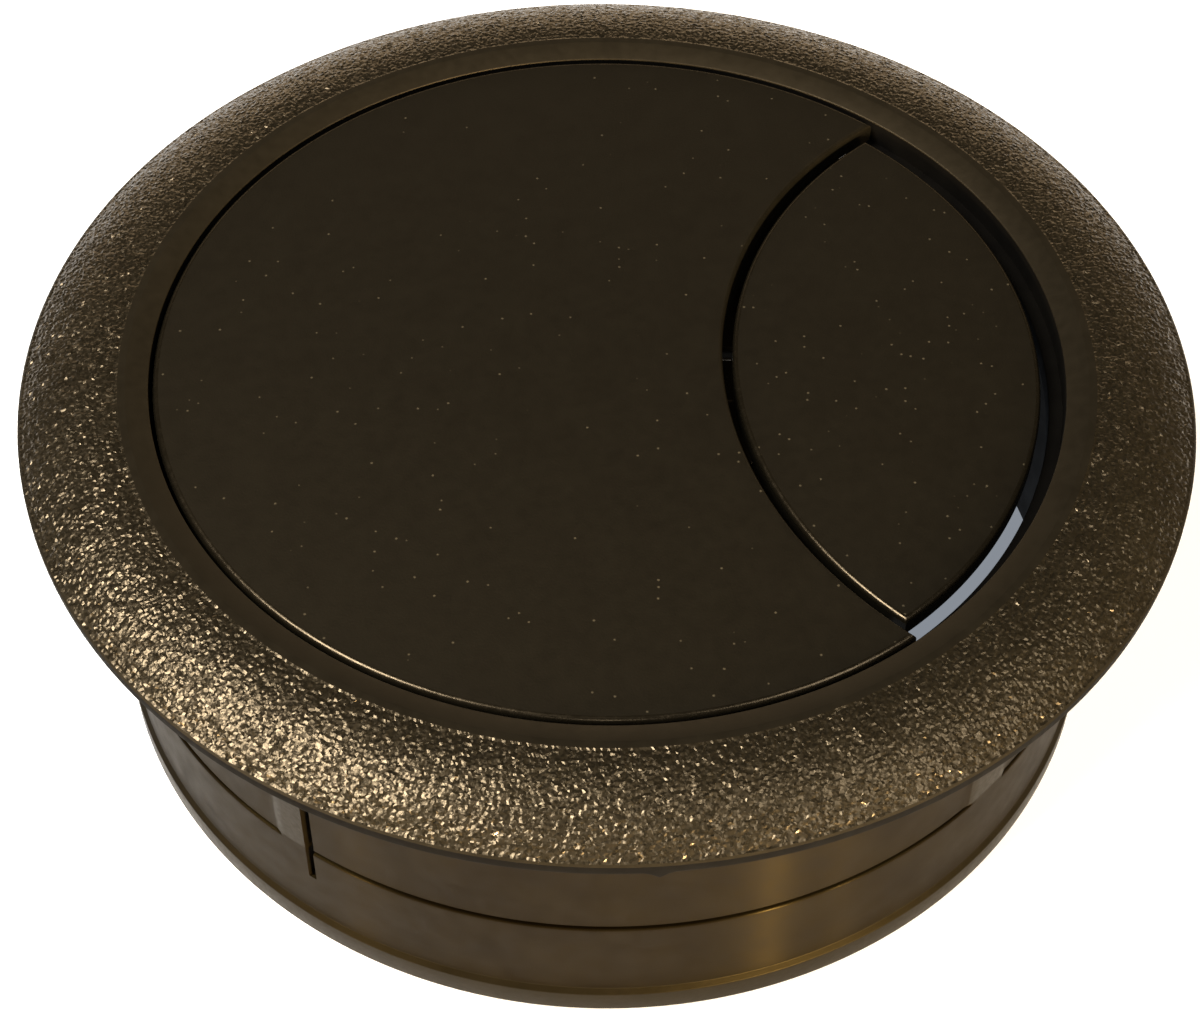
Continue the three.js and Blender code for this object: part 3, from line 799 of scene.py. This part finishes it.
class Nodes:
    """A material's node tree, with short calls to add and link nodes."""

    def __init__(self, name):
        self.material = bpy.data.materials.new(name)
        self.material.use_nodes = True
        self.tree = self.material.node_tree
        self.shader = self.tree.nodes["Principled BSDF"]

    def add(self, kind, links=None, **values):
        node = self.tree.nodes.new(kind)
        for key, value in values.items():
            setattr(node, key, value)
        for socket, value in (links or {}).items():
            if isinstance(value, bpy.types.NodeSocket):
                self.tree.links.new(value, node.inputs[socket])
            else:
                node.inputs[socket].default_value = value
        return node

    def into_shader(self, socket, value):
        if isinstance(value, bpy.types.NodeSocket):
            self.tree.links.new(value, self.shader.inputs[socket])
        else:
            self.shader.inputs[socket].default_value = value

    def stretched(self, scale):
        place = self.add("ShaderNodeTexCoord").outputs["Object"]
        return self.add("ShaderNodeMapping", {"Vector": place, "Scale": scale}).outputs["Vector"]

    def noise(self, size, detail=2.0, roughness=0.5, scale=(1, 1, 1)):
        links = {
            "Vector": self.stretched(scale),
            "Scale": 1 / size,
            "Detail": detail,
            "Roughness": roughness,
        }
        return self.add("ShaderNodeTexNoise", links).outputs["Fac"]

    def ramp(self, value, low, high, start, end):
        links = {"Value": value, "From Min": low, "From Max": high, "To Min": start, "To Max": end}
        return self.add("ShaderNodeMapRange", links).outputs["Result"]

    def mix(self, share, first, second):
        node = self.add("ShaderNodeMix", data_type="RGBA")
        for index, value in ((0, share), (6, first), (7, second)):
            if isinstance(value, bpy.types.NodeSocket):
                self.tree.links.new(value, node.inputs[index])
            else:
                node.inputs[index].default_value = value
        return node.outputs[2]

    def bump(self, height, distance, under=None):
        links = {"Height": height, "Distance": distance, "Strength": 1.0}
        if under is not None:
            links["Normal"] = under
        return self.add("ShaderNodeBump", links).outputs["Normal"]

    def specks(self, spacing, size, share):
        """1 in sparse small dots, such as dust and glints of the filler, and 0 elsewhere."""
        links = {"Vector": self.stretched((1, 1, 1)), "Scale": 1 / spacing}
        cells = self.add("ShaderNodeTexVoronoi", links)
        near = self.ramp(cells.outputs["Distance"], size / spacing, 0.5 * size / spacing, 0, 1)
        pick = self.add("ShaderNodeSeparateColor", {"Color": cells.outputs["Color"]}).outputs["Red"]
        chosen = self.add("ShaderNodeMath", {0: pick, 1: share}, operation="LESS_THAN").outputs[0]
        return self.add("ShaderNodeMath", {0: near, 1: chosen}, operation="MULTIPLY").outputs[0]


def colour(red, green, blue):
    return (red, green, blue, 1)


# Warm tints for the plastics' reflections seen face on: painted warm light, since the key lamps are
# white.
WARM_LIGHT_TINT = colour(1.0, 0.75, 0.45)
DEEP_WARM_LIGHT_TINT = colour(1.0, 0.66, 0.16)


def base_plastic(name, dark, light, ior, mottle_size=2.5 * MM):
    """Black plastic, mottled between two tones; the caller adds its roughness and surface."""
    nodes = Nodes(name)
    mottle = nodes.ramp(nodes.noise(mottle_size, 3), 0.3, 0.7, 0, 1)
    nodes.base = nodes.mix(mottle, dark, light)
    nodes.into_shader("Base Color", nodes.base)
    # Painted warm light: the reflections are tinted warm.
    nodes.into_shader("Specular Tint", WARM_LIGHT_TINT)
    nodes.into_shader("IOR", ior)
    return nodes


def matte_plastic(name, dark, light, top, speck_share):
    """A finely textured matte top face with sparse light specks, and smoother plastic elsewhere."""
    nodes = base_plastic(name, dark, light, 1.24)
    height = nodes.add("ShaderNodeSeparateXYZ", {"Vector": nodes.stretched((1, 1, 1))}).outputs["Z"]
    on_top = nodes.ramp(height, top - 0.05 * MM, top - 0.02 * MM, 0, 1)
    specks = nodes.specks(0.75 * MM, 0.12 * MM, speck_share)
    shown = nodes.add("ShaderNodeMath", {0: specks, 1: on_top}, operation="MULTIPLY").outputs[0]
    nodes.into_shader("Base Color", nodes.mix(shown, nodes.base, colour(0.048, 0.038, 0.022)))
    rough = nodes.ramp(nodes.noise(0.9 * MM, 2), 0.3, 0.7, 0.53, 0.62)
    smooth = nodes.ramp(nodes.noise(0.5 * MM, 2), 0.3, 0.7, 0.27, 0.4)
    nodes.into_shader("Roughness", nodes.mix(on_top, smooth, rough))
    relief = nodes.bump(nodes.noise(0.2 * MM, 2, 0.6), 0.014 * MM)
    nodes.into_shader("Normal", nodes.bump(nodes.noise(1.1 * MM, 1), 0.006 * MM, under=relief))
    return nodes.material


def grained_plastic():
    """Spark-eroded grain: glossy little facets that lie every way, on top of the modelled pits."""
    dark, light = colour(0.005, 0.004, 0.0023), colour(0.007, 0.0056, 0.0032)
    nodes = base_plastic("grained_rim_plastic", dark, light, 1.5)
    nodes.into_shader("Roughness", nodes.ramp(nodes.noise(0.3 * MM, 1), 0.35, 0.65, 0.24, 0.34))
    nodes.into_shader("Normal", nodes.bump(nodes.noise(0.35 * MM, 1, 0.6), 0.04 * MM))
    return nodes.material


def sleeve_plastic():
    """Satin plastic with a turned mould's fine level lines, which draw highlights out upright."""
    dark, light = colour(0.0036, 0.0024, 0.001), colour(0.0052, 0.0036, 0.0015)
    nodes = base_plastic("sleeve_satin_plastic", dark, light, 1.122, 4 * MM)
    nodes.into_shader("Roughness", nodes.ramp(nodes.noise(1.5 * MM, 3), 0.3, 0.7, 0.28, 0.34))
    # Painted warm light: the sleeve's reflections get a deeper warm tint.
    nodes.into_shader("Specular Tint", DEEP_WARM_LIGHT_TINT)
    nodes.into_shader("Anisotropic", 1.0)
    nodes.into_shader("Anisotropic Rotation", 0.25)
    tangent = nodes.add("ShaderNodeTangent", direction_type="RADIAL", axis="Z")
    nodes.into_shader("Tangent", tangent.outputs[0])
    lines = nodes.noise(1 * MM, 3, 0.6, (0.2, 0.2, 8))
    nodes.into_shader("Normal", nodes.bump(lines, 0.003 * MM))
    return nodes.material


def band_plastic():
    """The smooth moulded band round the pocket and along the flange's edge."""
    dark, light = colour(0.0055, 0.0044, 0.0026), colour(0.007, 0.0056, 0.0033)
    nodes = base_plastic("smooth_band_plastic", dark, light, 1.28)
    nodes.into_shader("Roughness", nodes.ramp(nodes.noise(0.8 * MM, 2), 0.3, 0.7, 0.4, 0.5))
    nodes.into_shader("Normal", nodes.bump(nodes.noise(0.25 * MM, 2), 0.006 * MM))
    return nodes.material


def glossy_plastic(name, ior, tint, smooth, rough):
    """Rounded edges, which the mould leaves glossier than the faces beside them."""
    dark, light = colour(0.0042, 0.0033, 0.0018), colour(0.0054, 0.0042, 0.0024)
    nodes = base_plastic(name, dark, light, ior)
    # The tint paints warm light into the reflections.
    nodes.into_shader("Specular Tint", tint)
    nodes.into_shader("Roughness", nodes.ramp(nodes.noise(0.5 * MM, 2), 0.3, 0.7, smooth, rough))
    nodes.into_shader("Normal", nodes.bump(nodes.noise(0.25 * MM, 2), 0.008 * MM))
    return nodes.material


def recess_plastic():
    """Plastic darkened to paint shade on the pocket's wall and ledge that the cap runs in, and on
    the flange's edge.
    """
    # Darker tones than the other plastics, and a low IOR that dulls reflections, paint the shade
    # here.
    dark, light = colour(0.0024, 0.0021, 0.0018), colour(0.0034, 0.003, 0.0024)
    nodes = base_plastic("recess_plastic", dark, light, 1.06)
    nodes.into_shader("Roughness", nodes.ramp(nodes.noise(0.8 * MM, 2), 0.3, 0.7, 0.5, 0.62))
    nodes.into_shader("Normal", nodes.bump(nodes.noise(0.3 * MM, 2), 0.01 * MM))
    return nodes.material


def steel():
    """Darkened spring steel with fine drawing scratches."""
    nodes = Nodes("dark_spring_steel")
    tone = nodes.ramp(nodes.noise(0.6 * MM, 3), 0.3, 0.7, 0, 1)
    dark, light = colour(0.07, 0.064, 0.055), colour(0.11, 0.1, 0.087)
    nodes.into_shader("Base Color", nodes.mix(tone, dark, light))
    nodes.into_shader("Roughness", nodes.ramp(nodes.noise(0.3 * MM, 2), 0.3, 0.7, 0.26, 0.42))
    nodes.into_shader("Normal", nodes.bump(nodes.noise(0.12 * MM, 2, 0.5, (0.3, 1, 1)), 0.003 * MM))
    nodes.into_shader("Metallic", 1.0)
    return nodes.material


def floor_material():
    """A pale floor that glows a little, so that the background stays white round the object."""
    nodes = Nodes("pale_floor")
    tone = nodes.ramp(nodes.noise(40 * MM, 2), 0.3, 0.7, 0, 1)
    dark, light = colour(0.9, 0.87, 0.83), colour(0.92, 0.89, 0.85)
    nodes.into_shader("Base Color", nodes.mix(tone, dark, light))
    nodes.into_shader("Roughness", 0.7)
    nodes.into_shader("Emission Color", colour(0.8, 0.88, 1.0))
    nodes.into_shader("Emission Strength", 0.3)
    return nodes.material


# ---------------------------------------------------------------- stage, lights and camera

CAMERA_ELEVATION = math.radians(46.51)
CAMERA_DISTANCE = 193.9 * MM
CAMERA_LENS = 74.96
CAMERA_TURNS = (-0.0512, 0.0022, 0.0136)
CAMERA_CLIP = 0.01
FLOOR_HALF = 0.8

# How brightly the world's far wall and the rest of the room shine.
WALL_GLOW = 1.8
ROOM_GLOW = 0.05

# Name, azimuth, elevation, distance, width, height and power of each soft lamp.
KEY_LAMPS = (
    ("key_left", -78, 57, 0.6, 0.16, 0.24, 6.6),
    ("key_right", 64, 56, 0.6, 0.12, 0.3, 1.3),
    ("front_fill", 0, 45, 0.7, 0.1, 0.1, 0.3),
)
# Low, upright lamps that draw the light streaks on the sleeve.
STRIP_LAMPS = (
    ("strip_far_left", -70, 5, 0.7, 0.2, 0.14, 1.4),
    ("strip_left", -44, 5, 0.7, 0.05, 0.14, 4.5),
    ("strip_right", 30.5, 5, 0.7, 0.02, 0.14, 22.0),
    ("strip_far_right", 44, 5, 0.7, 0.02, 0.14, 6.0),
)
KEY_TINT = (1, 1, 1)
STRIP_TINT = (1.0, 0.8, 0.52)


def make_camera():
    data = bpy.data.cameras.new("camera")
    data.sensor_fit = "HORIZONTAL"
    data.sensor_width = 36
    data.lens = CAMERA_LENS
    data.clip_start = CAMERA_CLIP
    camera = bpy.data.objects.new("camera", data)
    bpy.context.scene.collection.objects.link(camera)
    rise, run = math.sin(CAMERA_ELEVATION), math.cos(CAMERA_ELEVATION)
    facing = Matrix(((1, 0, 0), (0, rise, -run), (0, run, rise)))
    tilt, pan, roll = CAMERA_TURNS
    turn = Matrix.Rotation(tilt, 3, "X") @ Matrix.Rotation(pan, 3, "Y")
    turn = turn @ Matrix.Rotation(roll, 3, "Z")
    place = Vector((0, -run, rise)) * CAMERA_DISTANCE + Vector((0, 0, FLANGE_SEAT))
    camera.matrix_world = Matrix.Translation(place) @ (facing @ turn).to_4x4()
    bpy.context.scene.camera = camera


def make_floor():
    half = FLOOR_HALF
    corners = [(-half, -half, 0), (half, -half, 0), (half, half, 0), (-half, half, 0)]
    floor = object_from("floor", corners, [(0, 1, 2, 3)])
    floor.data.materials.append(floor_material())


def add_lamp(tint, name, azimuth, elevation, distance, width, height, power):
    """A soft oblong lamp that looks at the object. Azimuths count from the front towards +X."""
    data = bpy.data.lights.new(name, "AREA")
    data.shape = "RECTANGLE"
    data.size = width
    data.size_y = height
    data.energy = power
    data.color = tint
    lamp = bpy.data.objects.new(name, data)
    bpy.context.scene.collection.objects.link(lamp)
    a, e = math.radians(azimuth), math.radians(elevation)
    away = Vector((math.sin(a) * math.cos(e), -math.cos(a) * math.cos(e), math.sin(e)))
    target = Vector((0, 0, FLANGE_SEAT))
    lamp.location = target + away * distance
    lamp.rotation_euler = away.to_track_quat("Z", "Y").to_euler()
    lamp.visible_camera = False


def make_world():
    """A dim room whose far wall is pale and warm near the floor, and which is dark overhead."""
    world = bpy.data.worlds.new("soft_room")
    world.use_nodes = True
    tree = world.node_tree
    background = tree.nodes["Background"]

    def add(kind, links, **values):
        node = tree.nodes.new(kind)
        for key, value in values.items():
            setattr(node, key, value)
        for socket, value in links.items():
            if isinstance(value, bpy.types.NodeSocket):
                tree.links.new(value, node.inputs[socket])
            else:
                node.inputs[socket].default_value = value
        return node.outputs[0]

    place = tree.nodes.new("ShaderNodeTexCoord").outputs["Generated"]
    axes = tree.nodes.new("ShaderNodeSeparateXYZ")
    tree.links.new(place, axes.inputs[0])
    low = {"Value": axes.outputs["Z"], "From Min": 0.1, "From Max": 0.5}
    low.update({"To Min": 1.0, "To Max": 0.0})
    behind = {"Value": axes.outputs["Y"], "From Min": 0.7, "From Max": 0.97}
    behind.update({"To Min": 0.05, "To Max": 1.0})
    lowness = add("ShaderNodeMapRange", low, interpolation_type="SMOOTHSTEP")
    farness = add("ShaderNodeMapRange", behind, interpolation_type="SMOOTHSTEP")
    wall = add("ShaderNodeMath", {0: lowness, 1: farness}, operation="MULTIPLY")
    glow = {0: wall, 1: WALL_GLOW, 2: ROOM_GLOW}
    strength = add("ShaderNodeMath", glow, operation="MULTIPLY_ADD")
    tree.links.new(strength, background.inputs["Strength"])
    background.inputs["Color"].default_value = colour(1.0, 0.74, 0.45)
    bpy.context.scene.world = world


def make_lights():
    for lamp in KEY_LAMPS:
        add_lamp(KEY_TINT, *lamp)
    for lamp in STRIP_LAMPS:
        add_lamp(STRIP_TINT, *lamp)


def main():
    dark, light = colour(0.0031, 0.0026, 0.0016), colour(0.0039, 0.0033, 0.002)
    cap_finish = matte_plastic("matte_cap_plastic", dark, light, CAP_TOP, 0.13)
    flap_finish = matte_plastic("matte_flap_plastic", dark, light, FLAP_TOP, 0.35)
    edge = glossy_plastic("polished_edge_plastic", 1.42, WARM_LIGHT_TINT, 0.2, 0.3)
    steel_finish = steel()
    bead = glossy_plastic("bead_plastic", 1.14, DEEP_WARM_LIGHT_TINT, 0.34, 0.44)
    make_liner([sleeve_plastic(), grained_plastic(), band_plastic(), recess_plastic(), bead])
    make_cap([cap_finish, edge])
    make_flap([flap_finish, edge])
    make_pin(steel_finish)
    make_spring(steel_finish)
    make_floor()
    make_lights()
    make_world()
    make_camera()
    bpy.context.scene.view_settings.view_transform = "Standard"


main()
